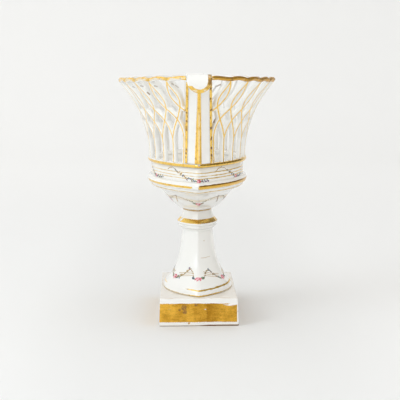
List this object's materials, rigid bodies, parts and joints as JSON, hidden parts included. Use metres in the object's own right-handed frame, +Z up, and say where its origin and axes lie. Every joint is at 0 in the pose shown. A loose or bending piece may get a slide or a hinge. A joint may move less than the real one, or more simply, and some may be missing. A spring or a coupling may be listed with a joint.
{
  "type": "fruit bowl",
  "caption": "Boat-shaped porcelain fruit bowl with an openwork lattice wall, scalloped rim, rolled end scrolls and a flared pedestal on a rectangular plinth.",
  "frame": {"origin": "centre of the plinth's underside, on the surface that the bowl stands on", "axes": "+Z up; the bowl's long axis is Y, with its pointed ends at -Y (front) and +Y (back); the openwork sides face -X (left) and +X (right)"},
  "size_m": [0.1678, 0.3112, 0.2597],
  "materials": {
    "porcelain": "white hard-paste porcelain with a clear gloss glaze",
    "gilding": "porcelain under burnished, slightly worn gilding",
    "brass": "polished, dulled by age",
    "steel": "plain turned",
    "leather": "plain"
  },
  "bodies": {
    "root": {"plinth": "porcelain", "pedestal": "porcelain", "knop_ring": "porcelain", "bowl": "porcelain", "lower_moulding": "gilding", "upper_moulding": "gilding", "lattice_left": "porcelain", "lattice_right": "porcelain", "rim_left": "gilding", "rim_right": "gilding", "post_front": "porcelain", "post_back": "porcelain", "ridge_front": "gilding", "ridge_back": "gilding", "scroll_front": "porcelain", "scroll_back": "porcelain", "tie_rod": "steel", "cap_nut": "brass", "top_washer": "brass", "top_pad": "leather", "bottom_pad": "leather", "bottom_washer": "steel", "bottom_nut": "steel"}
  },
  "joints": []
}
